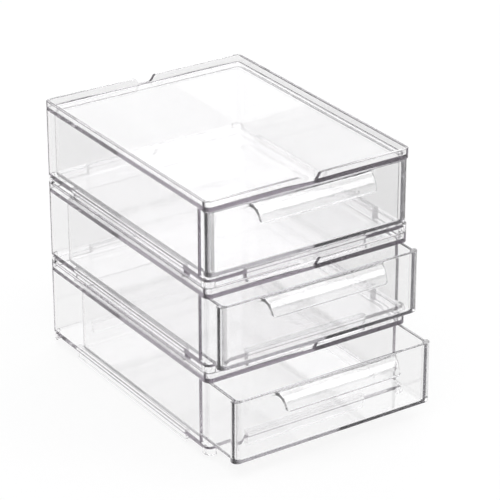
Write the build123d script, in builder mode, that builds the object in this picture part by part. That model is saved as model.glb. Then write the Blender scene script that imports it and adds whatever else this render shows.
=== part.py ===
from build123d import *
import os

# A stack of three identical clear units, each an open-fronted housing with one drawer.
# All sizes are in millimetres. +Z is up, the drawers open towards -Y, and the origin
# lies on the ground under the middle of the stack as it stands, open drawers included.

# Driving dimensions of the stack
unit_width = 135.1  # across the side walls
unit_depth = 174.0  # front edge of the top plate to the outside of the back wall
stack_pitch = 51.4  # height that each unit adds to the stack, from feet to rim top
unit_names = ("bottom", "middle", "top")
drawer_openings = (26.0, 12.0, 0.0)  # how far each drawer stands open, bottom unit first

# Housing
wall_thickness = 2.0
floor_thickness = 2.2
plate_thickness = 2.1  # the roof over the drawer, inside and under the rim
outer_corner_radius = 4.0
side_wall_setback = 8.0  # side walls stop this far behind the front edge
rim_height = 3.9
rim_thickness = 2.2
notch_top_width = 16.0
notch_bottom_width = 5.0

# Underside of the housing: corner feet stand on the rim below, ridges drop inside it
foot_height = 3.4
foot_length = 6.0  # along each side of the corner
ridge_thickness = 4.0
ridge_end_radius = 1.5
front_ridge_length = 80.5
side_ridge_length = 122.0
ridge_side_clearance = 0.5  # ridge to the inside of the rim below
ridge_drop_clearance = 0.5  # ridge to the top plate below

# Drawer
drawer_wall = 2.0
drawer_floor = 2.0
drawer_side_clearance = 0.7
drawer_top_clearance = 0.7
drawer_seat_clearance = 0.3
drawer_back_clearance = 4.0
box_corner_radius = 5.0
box_bottom_radius = 2.4
inner_bottom_radius = 1.2
panel_width = 133.2
panel_thickness = 2.2  # in the middle, between the box walls
panel_edge_depth = 5.0  # at its two ends, which stand out past the box walls
panel_back_radius = 0.8  # seen from above
panel_end_flat = 0.3  # between the front and back rounds of an end
panel_bottom_radius = 0.5
panel_bottom_gap = 1.1  # panel to the housing floor that it passes over

# Pull lip along the top of the drawer's panel
lip_reach = 9.0
lip_drop = 9.4
lip_thickness = 2.0
lip_root_width = 80.0
lip_tip_width = 76.0
lip_root_radius = 3.0  # where its sides flare into the panel
lip_corner_radius = 2.0

# Levels measured up from the seat of a unit, where its feet stand
floor_bottom_level = foot_height
floor_top_level = floor_bottom_level + floor_thickness
rim_top_level = stack_pitch
plate_top_level = rim_top_level - rim_height
plate_bottom_level = plate_top_level - plate_thickness
ridge_drop = rim_height - ridge_drop_clearance
drawer_bottom_level = floor_top_level + drawer_seat_clearance
drawer_top_level = plate_bottom_level - drawer_top_clearance
panel_bottom_level = floor_top_level + panel_bottom_gap

# Places along Y
stack_length = max(drawer_openings) + lip_reach + unit_depth
back_y = stack_length / 2
front_y = back_y - unit_depth
housing_centre_y = (front_y + back_y) / 2
bay_back_y = back_y - wall_thickness

# Widths that the mating parts share
bay_width = unit_width - 2 * wall_thickness
box_width = bay_width - 2 * drawer_side_clearance
drawer_length = bay_back_y - drawer_back_clearance - front_y
rim_inner_radius = outer_corner_radius - rim_thickness
panel_front_radius = panel_edge_depth - panel_back_radius - panel_end_flat
bay_corner_radius = outer_corner_radius - wall_thickness


def housing_outline():
    """The housing's plan outline, added to the sketch that is open."""
    with Locations((0, housing_centre_y)):
        RectangleRounded(unit_width, unit_depth, outer_corner_radius)


def rim_ring():
    """The band over the walls that the rim and the feet share, added to the open sketch."""
    housing_outline()
    inner_width = unit_width - 2 * rim_thickness
    inner_depth = unit_depth - 2 * rim_thickness
    with Locations((0, housing_centre_y)):
        RectangleRounded(inner_width, inner_depth, rim_inner_radius, mode=Mode.SUBTRACT)


def make_bay_cut(seat):
    """The space for the drawer, open at the front and wider ahead of the side walls."""
    bay_height = plate_bottom_level - floor_top_level
    with BuildPart() as bay:
        with BuildSketch(Plane.XY.offset(seat + floor_top_level)):
            with Locations((0, (front_y + bay_back_y) / 2)):
                Rectangle(bay_width, bay_back_y - front_y)
        extrude(amount=bay_height)
        back_corners = bay.edges().filter_by(Axis.Z).group_by(Axis.Y)[-1]
        fillet(back_corners, bay_corner_radius)
        with BuildSketch(Plane.XY.offset(seat + floor_top_level)):
            with Locations((0, front_y)):
                Rectangle(unit_width, 2 * side_wall_setback)
        extrude(amount=bay_height)
    return bay.part


def make_notch_cut(seat):
    """A bar along Y with the notch's outline, which crosses the front and back rims."""
    top = seat + rim_top_level
    bottom = seat + plate_top_level
    with BuildPart() as notch:
        with BuildSketch(Plane.XZ.offset(-back_y)):
            with BuildLine():
                Line((-notch_bottom_width / 2, bottom), (notch_bottom_width / 2, bottom))
                Spline(
                    (notch_bottom_width / 2, bottom),
                    (notch_top_width / 2, top),
                    tangents=((1, 0), (1, 0)),
                )
                Line((notch_top_width / 2, top), (-notch_top_width / 2, top))
                Spline(
                    (-notch_top_width / 2, top),
                    (-notch_bottom_width / 2, bottom),
                    tangents=((1, 0), (1, 0)),
                )
            make_face()
        extrude(amount=unit_depth)
    return notch.part


def make_housing(name, seat):
    """One housing whose feet stand at the height seat."""
    bay_cut = make_bay_cut(seat)
    notch_cut = make_notch_cut(seat)
    ridge_inset = rim_thickness + ridge_side_clearance + ridge_thickness / 2
    ridge_x = unit_width / 2 - ridge_inset
    ridge_y = unit_depth / 2 - ridge_inset
    with BuildPart() as housing:
        # Floor, side walls, back wall and top plate
        with BuildSketch(Plane.XY.offset(seat + floor_bottom_level)):
            housing_outline()
        extrude(amount=plate_top_level - floor_bottom_level)
        add(bay_cut, mode=Mode.SUBTRACT)
        # Rim with its two notches
        with BuildSketch(Plane.XY.offset(seat + plate_top_level)):
            rim_ring()
        extrude(amount=rim_height)
        add(notch_cut, mode=Mode.SUBTRACT)
        # Feet: what is left of the ring at the four corners
        with BuildSketch(Plane.XY.offset(seat)):
            rim_ring()
            with Locations((0, housing_centre_y)):
                Rectangle(unit_width - 2 * foot_length, unit_depth, mode=Mode.SUBTRACT)
                Rectangle(unit_width, unit_depth - 2 * foot_length, mode=Mode.SUBTRACT)
        extrude(amount=foot_height)
        # Ridges that keep the unit centred in the rim below
        with BuildSketch(Plane.XY.offset(seat - ridge_drop)):
            with Locations((0, housing_centre_y - ridge_y), (0, housing_centre_y + ridge_y)):
                RectangleRounded(front_ridge_length, ridge_thickness, ridge_end_radius)
            with Locations((-ridge_x, housing_centre_y), (ridge_x, housing_centre_y)):
                RectangleRounded(ridge_thickness, side_ridge_length, ridge_end_radius)
        extrude(amount=ridge_drop + foot_height)
    housing.part.label = name
    return housing.part


def make_lip(seat, panel_front_y):
    """The pull lip: a quarter of an elliptical shell, trimmed to its outline from above."""
    tip = seat + drawer_top_level - lip_drop
    blank_width = lip_root_width + 4 * lip_root_radius
    with BuildPart() as lip:
        # Section across the lip, seen from the side
        with BuildSketch(Plane.YZ.offset(-blank_width / 2)):
            with Locations((panel_front_y, tip)):
                Ellipse(lip_reach, lip_drop)
                Ellipse(lip_reach - lip_thickness, lip_drop - lip_thickness, mode=Mode.SUBTRACT)
            with Locations((panel_front_y - lip_reach / 2, tip + lip_drop / 2)):
                Rectangle(lip_reach, lip_drop, mode=Mode.INTERSECT)
        extrude(amount=blank_width)
        # Outline from above: narrower at the tip, and flaring into a strip along the panel
        with BuildSketch(Plane.XY.offset(tip)) as outline:
            with BuildLine():
                Polyline(
                    (-lip_root_width / 2, panel_front_y),
                    (-lip_tip_width / 2, panel_front_y - lip_reach),
                    (lip_tip_width / 2, panel_front_y - lip_reach),
                    (lip_root_width / 2, panel_front_y),
                    close=True,
                )
            make_face()
            with Locations((0, panel_front_y + panel_thickness / 2)):
                Rectangle(blank_width, panel_thickness)
            root_corners = outline.vertices().group_by(Axis.Y)[1].sort_by(Axis.X)[1:-1]
            fillet(root_corners, lip_root_radius)
        extrude(amount=lip_drop, mode=Mode.INTERSECT)
        # Lower corners, seen from the front
        tip_edges = lip.edges().group_by(Axis.Z)[0].sort_by(Axis.X)
        fillet([tip_edges[0], tip_edges[-1]], lip_corner_radius)
    return lip.part


def make_tray_form(width, length, height, corner_radius, bottom_radius, front, bottom):
    """A block with round upright corners and a round bottom edge, from its front and bottom."""
    with BuildPart() as form:
        with BuildSketch(Plane.XY.offset(bottom)):
            with Locations((0, front + length / 2)):
                RectangleRounded(width, length, corner_radius)
        extrude(amount=height)
        fillet(form.edges().group_by(Axis.Z)[0], bottom_radius)
    return form.part


def make_panel(seat, panel_front_y):
    """The drawer's front panel: round at its two front corners, less so behind."""
    bottom = seat + panel_bottom_level
    with BuildPart() as panel:
        with BuildSketch(Plane.XY.offset(bottom)) as outline:
            with Locations((0, panel_front_y + panel_edge_depth / 2)):
                Rectangle(panel_width, panel_edge_depth)
            fillet(outline.vertices().group_by(Axis.Y)[0], panel_front_radius)
            fillet(outline.vertices().group_by(Axis.Y)[-1], panel_back_radius)
        extrude(amount=seat + drawer_top_level - bottom)
        fillet(panel.edges().group_by(Axis.Z)[0], panel_bottom_radius)
    return panel.part


def make_drawer(name, seat, opening):
    """One drawer, standing open by the distance opening."""
    panel_front_y = front_y - opening
    box_bottom = seat + drawer_bottom_level
    top = seat + drawer_top_level
    box_form = make_tray_form(
        box_width,
        drawer_length - panel_thickness / 2,
        top - box_bottom,
        box_corner_radius,
        box_bottom_radius,
        panel_front_y + panel_thickness / 2,
        box_bottom,
    )
    hollow_form = make_tray_form(
        box_width - 2 * drawer_wall,
        drawer_length - panel_thickness - drawer_wall,
        top - box_bottom - drawer_floor,
        box_corner_radius - drawer_wall,
        inner_bottom_radius,
        panel_front_y + panel_thickness,
        box_bottom + drawer_floor,
    )
    panel = make_panel(seat, panel_front_y)
    lip = make_lip(seat, panel_front_y)
    with BuildPart() as drawer:
        add(panel)
        add(box_form)
        add(hollow_form, mode=Mode.SUBTRACT)
        add(lip)
    drawer.part.label = name
    return drawer.part


os.makedirs("parts", exist_ok=True)
for level, (unit_name, drawer_opening) in enumerate(zip(unit_names, drawer_openings)):
    seat_height = ridge_drop + level * stack_pitch
    housing_part = make_housing(unit_name + "_housing", seat_height)
    drawer_part = make_drawer(unit_name + "_drawer", seat_height, drawer_opening)
    export_step(housing_part, "parts/" + housing_part.label + ".step")
    export_step(drawer_part, "parts/" + drawer_part.label + ".step")
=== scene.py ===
"""Clear stacking drawers for craft stamps: three housings, three pull-out trays and a white studio."""

import math

import bmesh
import bpy
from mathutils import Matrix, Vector


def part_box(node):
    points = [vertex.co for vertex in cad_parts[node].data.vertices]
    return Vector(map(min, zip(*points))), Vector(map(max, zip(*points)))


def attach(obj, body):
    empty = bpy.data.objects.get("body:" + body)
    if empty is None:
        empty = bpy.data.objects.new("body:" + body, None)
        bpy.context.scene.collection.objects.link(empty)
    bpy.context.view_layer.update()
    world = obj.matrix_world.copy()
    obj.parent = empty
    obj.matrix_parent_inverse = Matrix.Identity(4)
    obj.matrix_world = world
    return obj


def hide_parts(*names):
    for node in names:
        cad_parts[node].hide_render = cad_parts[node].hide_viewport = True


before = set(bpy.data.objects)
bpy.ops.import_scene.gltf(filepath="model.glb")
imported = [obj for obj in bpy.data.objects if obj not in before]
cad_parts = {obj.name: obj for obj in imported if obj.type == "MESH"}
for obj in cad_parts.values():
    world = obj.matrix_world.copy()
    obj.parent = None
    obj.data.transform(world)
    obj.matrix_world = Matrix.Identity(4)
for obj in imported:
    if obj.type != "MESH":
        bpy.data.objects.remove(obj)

bl_info = {
    "name": "Clear Stamp Drawers",
    "version": (1, 0, 0),
    "blender": (4, 5, 0),
    "location": "View3D > Sidebar > Stamp Drawers",
    "description": "Builds a stack of clear moulded drawer units in a white studio",
    "category": "Object",
}

MM = 0.001
UNITS = ("bottom", "middle", "top")
WELD_DISTANCE = 0.002 * MM  # closes the seams between a moulding's triangles
FLAT_ANGLE = math.radians(0.5)  # faces that turn less than this are one flat face
NORMAL_WEIGHT = 100  # large faces alone decide the shading beside a rounded edge

# Studio, in metres and watts: name, place, width and power of each square soft lamp
LAMPS = (
    ("overhead_softbox", (-0.5, -0.3, 1.9), 1.2, 14),
    ("back_softbox", (0.95, 1.45, 0.95), 1.6, 9),
    ("side_softbox", (1.0, -0.8, 1.45), 1.0, 8),
)
FLOOR_HALF_WIDTH = 12.0
FLOOR_GLOW_SHARE = 0.88  # share of even white in the floor that the camera sees
FLOOR_BEHIND_PLASTIC = 0.94  # brightness of the floor seen through or in the plastic
SURROUND_LIGHT = 0.75  # strength of the surround as a light on the matt floor
LIGHT_BOUNCES = 96  # light turns many times inside a plate before it leaves at an edge

# Surround, by height: 0 is the horizon and 1 is straight overhead
ROOM_SHADES = ((0.3, "#FFFFFF"), (0.36, "#9A9A9C"), (0.7, "#9A9A9C"), (0.85, "#FFFFFF"))
FLAG_SHADES = ((0.28, "#FFFFFF"), (0.34, "#0C0C0D"), (0.52, "#0C0C0D"), (0.62, "#FFFFFF"))
FLAG_START = 0.6  # how far to the side the black flags begin, of 1
FLAG_FULL = 0.75  # how far to the side they are at full strength

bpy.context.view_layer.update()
HOUSING_LOW, HOUSING_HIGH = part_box("top_housing")
STACK_CENTRE_Y = (HOUSING_LOW.y + HOUSING_HIGH.y) / 2
STACK_TOP = HOUSING_HIGH.z


def linear(hex_colour, alpha=1.0):
    """An sRGB hex colour as linear red, green, blue and alpha."""
    parts = [int(hex_colour[i : i + 2], 16) / 255 for i in (1, 3, 5)]
    values = [c / 12.92 if c <= 0.04045 else ((c + 0.055) / 1.055) ** 2.4 for c in parts]
    return (*values, alpha)


def add_node(tree, kind, settings=None, inputs=None):
    """Adds a node with its settings, and sets or links its inputs by name or number."""
    node = tree.nodes.new(kind)
    for key, value in (settings or {}).items():
        setattr(node, key, value)
    for key, value in (inputs or {}).items():
        if isinstance(value, bpy.types.NodeSocket):
            tree.links.new(value, node.inputs[key])
        else:
            node.inputs[key].default_value = value
    return node


class ClearMouldingSettings(bpy.types.PropertyGroup):
    """Sizes and colours of the clear mouldings."""

    edge_radius: bpy.props.FloatProperty(
        name="Edge radius",
        description="Small radius that the mould leaves on every outside edge",
        default=0.35 * MM,
        unit="LENGTH",
    )
    edge_angle: bpy.props.FloatProperty(
        name="Edge angle",
        description="Edges that turn more sharply than this get the edge radius",
        default=math.radians(32),
        subtype="ANGLE",
    )
    ripple_length: bpy.props.FloatProperty(
        name="Ripple length",
        description="Distance between the faint ripples that the flowing plastic leaves",
        default=28 * MM,
        unit="LENGTH",
    )
    ripple_depth: bpy.props.FloatProperty(
        name="Ripple depth",
        description="Depth of the faint flow ripples",
        default=0.004 * MM,
        unit="LENGTH",
    )
    roughness: bpy.props.FloatProperty(
        name="Roughness",
        description="Roughness of the polished plastic",
        default=0.03,
        subtype="FACTOR",
    )
    refraction: bpy.props.FloatProperty(
        name="Refraction",
        description="How strongly the plastic bends light",
        default=1.57,
    )
    housing_tint: bpy.props.FloatVectorProperty(
        name="Housing tint",
        description="Colour that deep housing plastic takes on",
        size=4,
        subtype="COLOR",
        default=linear("#A398A6"),
    )
    drawer_tint: bpy.props.FloatVectorProperty(
        name="Drawer tint",
        description="Colour that deep drawer plastic takes on",
        size=4,
        subtype="COLOR",
        default=linear("#ABA8AE"),
    )
    housing_density: bpy.props.FloatProperty(
        name="Housing tint density",
        description="How quickly the housing tint builds up, per metre of plastic",
        default=12.0,
    )
    drawer_density: bpy.props.FloatProperty(
        name="Drawer tint density",
        description="How quickly the drawer tint builds up, per metre of plastic",
        default=9.0,
    )


class WhiteStudioSettings(bpy.types.PropertyGroup):
    """Camera and light of the studio."""

    azimuth: bpy.props.FloatProperty(
        name="Azimuth",
        description="Turn of the camera round the stack",
        default=math.radians(-33.48),
        subtype="ANGLE",
    )
    elevation: bpy.props.FloatProperty(
        name="Elevation",
        description="Height of the camera as an angle",
        default=math.radians(25.48),
        subtype="ANGLE",
    )
    distance: bpy.props.FloatProperty(
        name="Distance",
        description="Distance from the camera to the plane that it aims at",
        default=1504.7 * MM,
        unit="LENGTH",
    )
    aim_side: bpy.props.FloatProperty(
        name="Aim side",
        description="How far the aim lies to the right of the stack's middle",
        default=15.0 * MM,
        unit="LENGTH",
    )
    aim_height: bpy.props.FloatProperty(
        name="Aim height",
        description="Height of the aim below the rim of the top unit",
        default=79.5 * MM,
        unit="LENGTH",
    )
    lens: bpy.props.FloatProperty(
        name="Lens",
        description="Focal length in millimetres on a 36 mm sensor",
        default=187.1,
    )
    floor_colour: bpy.props.FloatVectorProperty(
        name="Floor colour",
        description="Colour of the studio floor",
        size=4,
        subtype="COLOR",
        default=linear("#F2F2F3"),
    )


def clear_moulding(name, tint, density, look):
    """Clear moulded plastic, seen mostly by its edges."""
    # The real plastic is water-clear through a wall. Along a plate or wall the light travels
    # far inside it, so edges look like grey lines with a trace of violet, and the flowing melt
    # leaves ripples far too faint to see except where they bend a reflection.
    material = bpy.data.materials.new(name)
    material.use_nodes = True
    tree = material.node_tree
    tree.nodes.clear()
    place = add_node(tree, "ShaderNodeTexCoord")
    ripple = add_node(
        tree,
        "ShaderNodeTexNoise",
        inputs={"Vector": place.outputs["Object"], "Scale": 1 / look.ripple_length, "Detail": 1.0},
    )
    bump = add_node(
        tree,
        "ShaderNodeBump",
        inputs={
            "Height": ripple.outputs["Fac"],
            "Distance": look.ripple_depth,
            "Strength": 1.0,
        },
    )
    plastic = add_node(
        tree,
        "ShaderNodeBsdfPrincipled",
        inputs={
            "Base Color": linear("#FFFFFF"),
            "Roughness": look.roughness,
            "IOR": look.refraction,
            "Transmission Weight": 1.0,
            "Normal": bump.outputs["Normal"],
        },
    )
    depth = add_node(
        tree,
        "ShaderNodeVolumeAbsorption",
        inputs={"Color": tint, "Density": density},
    )
    add_node(
        tree,
        "ShaderNodeOutputMaterial",
        inputs={"Surface": plastic.outputs["BSDF"], "Volume": depth.outputs["Volume"]},
    )
    return material


def finish_tree(name):
    """Geometry nodes that weld a moulding's triangles, smooth them and give them their plastic."""
    tree = bpy.data.node_groups.new(name, "GeometryNodeTree")
    face = tree.interface
    face.new_socket("Moulding", in_out="INPUT", socket_type="NodeSocketObject")
    face.new_socket("Weld distance", in_out="INPUT", socket_type="NodeSocketFloat")
    face.new_socket("Plastic", in_out="INPUT", socket_type="NodeSocketMaterial")
    face.new_socket("Geometry", in_out="OUTPUT", socket_type="NodeSocketGeometry")
    given = add_node(tree, "NodeGroupInput")
    solid = add_node(
        tree, "GeometryNodeObjectInfo", inputs={"Object": given.outputs["Moulding"]}
    )
    welded = add_node(
        tree,
        "GeometryNodeMergeByDistance",
        inputs={"Geometry": solid.outputs["Geometry"], "Distance": given.outputs["Weld distance"]},
    )
    smooth = add_node(
        tree, "GeometryNodeSetShadeSmooth", inputs={"Geometry": welded.outputs["Geometry"]}
    )
    whole = add_node(
        tree, "GeometryNodeRealizeInstances", inputs={"Geometry": smooth.outputs["Geometry"]}
    )
    coated = add_node(
        tree,
        "GeometryNodeSetMaterial",
        inputs={"Geometry": whole.outputs["Geometry"], "Material": given.outputs["Plastic"]},
    )
    add_node(tree, "NodeGroupOutput", inputs={"Geometry": coated.outputs["Geometry"]})
    return tree


def socket_of(tree, name):
    """The identifier of a tree's named input."""
    for item in tree.interface.items_tree:
        if item.item_type == "SOCKET" and item.in_out == "INPUT" and item.name == name:
            return item.identifier
    raise RuntimeError("the finish tree has no input named " + name)


def weld_moulding(node_name, piece_name, material, tree):
    """A welded copy of one solid moulding as its own object."""
    holder = bpy.data.objects.new(piece_name + "_work", bpy.data.meshes.new(piece_name + "_work"))
    bpy.context.collection.objects.link(holder)
    modifier = holder.modifiers.new("Finish", "NODES")
    modifier.node_group = tree
    modifier[socket_of(tree, "Moulding")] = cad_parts[node_name]
    modifier[socket_of(tree, "Weld distance")] = WELD_DISTANCE
    modifier[socket_of(tree, "Plastic")] = material
    graph = bpy.context.evaluated_depsgraph_get()
    mesh = bpy.data.meshes.new_from_object(holder.evaluated_get(graph))
    holder.modifiers.remove(modifier)
    bpy.data.objects.remove(holder)
    mesh.name = piece_name
    piece = bpy.data.objects.new(piece_name, mesh)
    bpy.context.collection.objects.link(piece)
    return piece


def round_edges(piece, look):
    """Redraws each flat face with even triangles, then rounds the edges between the faces."""
    work = bmesh.new()
    work.from_mesh(piece.data)
    bmesh.ops.dissolve_limit(
        work, angle_limit=FLAT_ANGLE, verts=work.verts[:], edges=work.edges[:]
    )
    outlines = [face for face in work.faces if len(face.verts) > 4]
    bmesh.ops.triangulate(work, faces=outlines, quad_method="BEAUTY", ngon_method="BEAUTY")
    work.to_mesh(piece.data)
    work.free()
    for polygon in piece.data.polygons:
        polygon.use_smooth = True
    bevel = piece.modifiers.new("Edge radius", "BEVEL")
    bevel.limit_method = "ANGLE"
    bevel.angle_limit = look.edge_angle
    bevel.width = look.edge_radius
    bevel.segments = 2
    bevel.use_clamp_overlap = False
    bevel.loop_slide = False
    shading = piece.modifiers.new("Flat faces stay flat", "WEIGHTED_NORMAL")
    shading.mode = "FACE_AREA"
    shading.weight = NORMAL_WEIGHT


def make_mouldings(kind, tint, density, look):
    """The three like mouldings of one kind, each riding on its own body."""
    material = clear_moulding("moulded_clear_copolyester_" + kind, tint, density, look)
    tree = finish_tree("Clear moulding finish " + kind)
    for unit in UNITS:
        node_name = unit + "_" + kind
        piece = weld_moulding(node_name, unit + "_clear_" + kind, material, tree)
        round_edges(piece, look)
        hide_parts(node_name)
        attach(piece, node_name)


def lamp(name, place, aim, size, power):
    """A square soft lamp at a place, turned towards its aim."""
    light = bpy.data.lights.new(name, "AREA")
    light.shape = "SQUARE"
    light.size = size
    light.energy = power
    holder = bpy.data.objects.new(name, light)
    holder.location = place
    holder.rotation_euler = (Vector(aim) - Vector(place)).to_track_quat("-Z", "Y").to_euler()
    bpy.context.collection.objects.link(holder)


def either(tree, first, second):
    """The larger of two numbers, such as two ray tests."""
    return add_node(
        tree, "ShaderNodeMath", {"operation": "MAXIMUM"}, {0: first, 1: second}
    ).outputs["Value"]


def paper_sweep(colour):
    """Matt white paper that keeps the stack's soft shadow."""
    # To the eye the sweep is an even bright white with a faint grey where the stack stands,
    # and seen through or reflected in the plastic it is a little dimmer.
    material = bpy.data.materials.new("matt_white_studio_paper")
    material.use_nodes = True
    tree = material.node_tree
    tree.nodes.clear()
    path = add_node(tree, "ShaderNodeLightPath")
    by_way = either(tree, path.outputs["Is Glossy Ray"], path.outputs["Is Transmission Ray"])
    share = either(
        tree,
        by_way,
        add_node(
            tree,
            "ShaderNodeMath",
            {"operation": "MULTIPLY"},
            {0: path.outputs["Is Camera Ray"], 1: FLOOR_GLOW_SHARE},
        ).outputs["Value"],
    )
    paper = add_node(tree, "ShaderNodeBsdfDiffuse", inputs={"Color": colour})
    dimmer = add_node(
        tree,
        "ShaderNodeMapRange",
        inputs={"Value": by_way, "To Min": 1.0, "To Max": FLOOR_BEHIND_PLASTIC},
    )
    glow = add_node(tree, "ShaderNodeEmission", inputs={"Strength": dimmer.outputs["Result"]})
    both = add_node(
        tree,
        "ShaderNodeMixShader",
        inputs={0: share, 1: paper.outputs["BSDF"], 2: glow.outputs["Emission"]},
    )
    add_node(tree, "ShaderNodeOutputMaterial", inputs={"Surface": both.outputs["Shader"]})
    return material


def make_floor(colour):
    """A wide flat floor under the stack."""
    half = FLOOR_HALF_WIDTH
    mesh = bpy.data.meshes.new("studio_floor")
    corners = [(-half, -half, 0), (half, -half, 0), (half, half, 0), (-half, half, 0)]
    mesh.from_pydata(corners, [], [(0, 1, 2, 3)])
    mesh.materials.append(paper_sweep(colour))
    floor = bpy.data.objects.new("studio_floor", mesh)
    bpy.context.collection.objects.link(floor)


def shade_ramp(tree, factor, shades):
    """The colour output of a ramp through the given positions and shades."""
    ramp = add_node(tree, "ShaderNodeValToRGB", inputs={"Fac": factor})
    stops = ramp.color_ramp.elements
    while len(stops) < len(shades):
        stops.new(1.0)
    for stop, (position, shade) in zip(stops, shades):
        stop.position = position
        stop.color = linear(shade)
    return ramp.outputs["Color"]


def make_world(side):
    """White walls near the horizon, a dimmer room above, and black flags to both sides.

    The flags stand along the direction side and its opposite.
    """
    world = bpy.data.worlds.new("white_studio")
    bpy.context.scene.world = world
    world.use_nodes = True
    tree = world.node_tree
    tree.nodes.clear()
    place = add_node(tree, "ShaderNodeTexCoord")
    height = add_node(tree, "ShaderNodeSeparateXYZ", inputs={"Vector": place.outputs["Generated"]})
    room = shade_ramp(tree, height.outputs["Z"], ROOM_SHADES)
    flags = shade_ramp(tree, height.outputs["Z"], FLAG_SHADES)
    sideways = add_node(
        tree,
        "ShaderNodeVectorMath",
        {"operation": "DOT_PRODUCT"},
        {0: place.outputs["Generated"], 1: side},
    )
    aside = add_node(
        tree, "ShaderNodeMath", {"operation": "ABSOLUTE"}, {0: sideways.outputs["Value"]}
    )
    flagged = add_node(
        tree,
        "ShaderNodeMapRange",
        inputs={"Value": aside.outputs["Value"], "From Min": FLAG_START, "From Max": FLAG_FULL},
    )
    surround = add_node(
        tree,
        "ShaderNodeMixRGB",
        inputs={"Fac": flagged.outputs["Result"], "Color1": room, "Color2": flags},
    )
    path = add_node(tree, "ShaderNodeLightPath")
    by_way = either(tree, path.outputs["Is Glossy Ray"], path.outputs["Is Transmission Ray"])
    plain = add_node(
        tree,
        "ShaderNodeMapRange",
        inputs={
            "Value": path.outputs["Is Camera Ray"],
            "To Min": SURROUND_LIGHT,
            "To Max": 1.0,
        },
    )
    seen = add_node(tree, "ShaderNodeBackground", inputs={"Strength": plain.outputs["Result"]})
    seen.inputs["Color"].default_value = linear("#FFFFFF")
    around = add_node(
        tree,
        "ShaderNodeBackground",
        inputs={"Color": surround.outputs["Color"], "Strength": 1.0},
    )
    sky = add_node(
        tree,
        "ShaderNodeMixShader",
        inputs={0: by_way, 1: seen.outputs["Background"], 2: around.outputs["Background"]},
    )
    add_node(tree, "ShaderNodeOutputWorld", inputs={"Surface": sky.outputs["Shader"]})


def make_camera(studio):
    """A long lens at the photographed angle, looking at the middle of the stack."""
    turn, rise = studio.azimuth, studio.elevation
    back = Vector((math.sin(turn) * math.cos(rise), -math.cos(turn) * math.cos(rise), math.sin(rise)))
    right = Vector((math.cos(turn), math.sin(turn), 0))
    aim = Vector((0, STACK_CENTRE_Y, STACK_TOP - studio.aim_height)) + right * studio.aim_side
    data = bpy.data.cameras.new("studio_camera")
    data.lens = studio.lens
    data.clip_start = 0.05
    data.clip_end = 100
    camera = bpy.data.objects.new("studio_camera", data)
    camera.location = aim + back * studio.distance
    camera.rotation_euler = (-back).to_track_quat("-Z", "Y").to_euler()
    bpy.context.collection.objects.link(camera)
    bpy.context.scene.camera = camera


class STAMPDRAWERS_OT_housings(bpy.types.Operator):
    """Makes the three clear housings"""

    bl_idname = "stampdrawers.housings"
    bl_label = "Clear housings"

    def execute(self, context):
        look = context.scene.stamp_drawer_look
        make_mouldings("housing", look.housing_tint, look.housing_density, look)
        return {"FINISHED"}


class STAMPDRAWERS_OT_drawers(bpy.types.Operator):
    """Makes the three clear drawers with their pull lips"""

    bl_idname = "stampdrawers.drawers"
    bl_label = "Clear drawers"

    def execute(self, context):
        look = context.scene.stamp_drawer_look
        make_mouldings("drawer", look.drawer_tint, look.drawer_density, look)
        return {"FINISHED"}


class STAMPDRAWERS_OT_studio(bpy.types.Operator):
    """Makes the white studio with its floor, lamps and camera"""

    bl_idname = "stampdrawers.studio"
    bl_label = "White studio"

    def execute(self, context):
        studio = context.scene.stamp_drawer_studio
        make_floor(studio.floor_colour)
        make_world((math.cos(studio.azimuth), math.sin(studio.azimuth), 0))
        middle = (0, STACK_CENTRE_Y, STACK_TOP / 2)
        for name, place, width, power in LAMPS:
            lamp(name, place, middle, width, power)
        make_camera(studio)
        context.scene.view_settings.view_transform = "Standard"
        context.scene.cycles.max_bounces = LIGHT_BOUNCES
        context.scene.cycles.transmission_bounces = LIGHT_BOUNCES
        context.scene.cycles.glossy_bounces = LIGHT_BOUNCES
        return {"FINISHED"}


class STAMPDRAWERS_PT_sidebar(bpy.types.Panel):
    """Lists the stack's pieces and the studio"""

    bl_idname = "STAMPDRAWERS_PT_sidebar"
    bl_label = "Stamp Drawers"
    bl_space_type = "VIEW_3D"
    bl_region_type = "UI"
    bl_category = "Stamp Drawers"

    def draw(self, context):
        for settings in (context.scene.stamp_drawer_look, context.scene.stamp_drawer_studio):
            for name in settings.__annotations__:
                self.layout.prop(settings, name)
        for operator in (
            STAMPDRAWERS_OT_studio,
            STAMPDRAWERS_OT_housings,
            STAMPDRAWERS_OT_drawers,
        ):
            self.layout.operator(operator.bl_idname)


CLASSES = (
    ClearMouldingSettings,
    WhiteStudioSettings,
    STAMPDRAWERS_OT_housings,
    STAMPDRAWERS_OT_drawers,
    STAMPDRAWERS_OT_studio,
    STAMPDRAWERS_PT_sidebar,
)


def register():
    """Adds the classes and the scene's two groups of settings."""
    for cls in CLASSES:
        bpy.utils.register_class(cls)
    bpy.types.Scene.stamp_drawer_look = bpy.props.PointerProperty(type=ClearMouldingSettings)
    bpy.types.Scene.stamp_drawer_studio = bpy.props.PointerProperty(type=WhiteStudioSettings)


def unregister():
    """Takes them away again."""
    del bpy.types.Scene.stamp_drawer_studio
    del bpy.types.Scene.stamp_drawer_look
    for cls in reversed(CLASSES):
        bpy.utils.unregister_class(cls)


def main():
    """Builds everything."""
    register()
    bpy.ops.stampdrawers.studio()
    bpy.ops.stampdrawers.housings()
    bpy.ops.stampdrawers.drawers()


if __name__ == "__main__":
    main()
